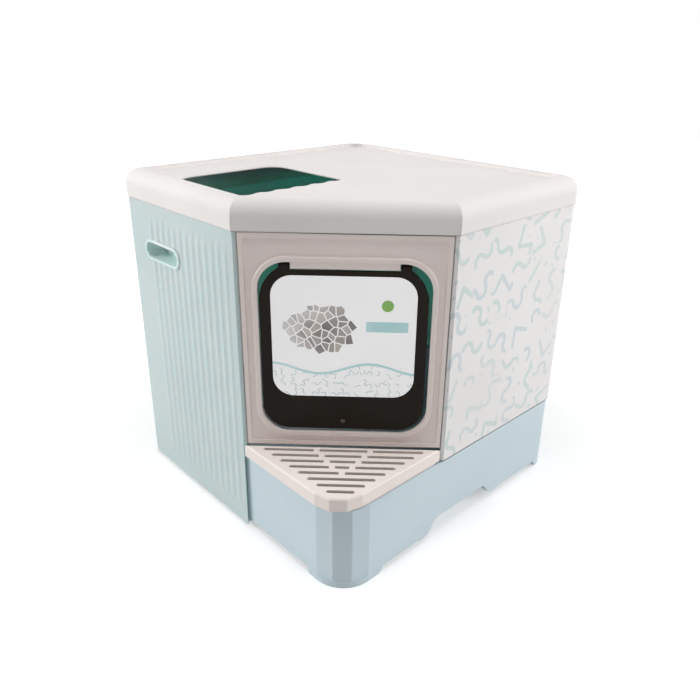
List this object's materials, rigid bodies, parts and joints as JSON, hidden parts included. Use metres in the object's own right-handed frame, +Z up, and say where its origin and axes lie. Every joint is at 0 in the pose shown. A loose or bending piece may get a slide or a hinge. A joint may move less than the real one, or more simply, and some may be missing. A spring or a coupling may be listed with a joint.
{
  "type": "covered litter box",
  "caption": "Covered corner litter box with a swing flap in its cut corner, a top entry in a lift-off lid, a pull-out drawer and a slotted paw step.",
  "frame": {"origin": "on the floor, under the middle of the lid's square outline", "axes": "+Z up; the drawer and the white front panel face -Y; the visible ribbed wall is at -X; the doorway crosses the cut corner between -X and -Y"},
  "size_m": [0.4028, 0.4, 0.4],
  "materials": {
    "mint_panel": "satin moulded mint plastic",
    "mint_grip": "smooth moulded mint plastic",
    "white_panel": "white plastic with a pastel print",
    "white_door": "satin moulded white plastic",
    "white_cover": "smooth moulded white plastic",
    "blue_pan": "smooth moulded pale blue plastic",
    "smoked_leaf": "dark smoked glossy plastic",
    "dark_pin": "dark moulded plastic",
    "label_sheet": "thin white film with a plain coloured pattern",
    "grey_stud": "plain steel",
    "clip_steel": "spring steel"
  },
  "bodies": {
    "housing": {"left_wall": "mint_panel", "right_wall": "mint_panel", "back_wall": "mint_panel", "front_panel": "white_panel", "door_panel": "white_door", "left_grip": "mint_grip", "right_grip": "mint_grip", "panel_clips": "clip_steel"},
    "lid": {"lid": "white_cover"},
    "drawer": {"drawer": "blue_pan"},
    "grate": {"grate": "white_cover"},
    "flap": {"flap": "smoked_leaf", "hinge_pins": "dark_pin", "flap_label": "label_sheet", "flap_stud": "grey_stud"}
  },
  "joints": [
    {"name": "lid_lift", "type": "slide", "parent": "housing", "child": "lid", "axis": [0, 0, 1], "range_m": [0, 0.12]},
    {"name": "drawer_pull", "type": "slide", "parent": "housing", "child": "drawer", "axis": [0, -1, 0], "range_m": [0, 0.3]},
    {"name": "grate_lift", "type": "slide", "parent": "drawer", "child": "grate", "axis": [0, 0, 1], "range_m": [0, 0.1]},
    {"name": "flap_swing", "type": "hinge", "parent": "housing", "child": "flap", "pos_m": [-0.11518, -0.11518, 0.3322], "axis": [0.7071, -0.7071, 0], "range_deg": [-75, 75]}
  ]
}
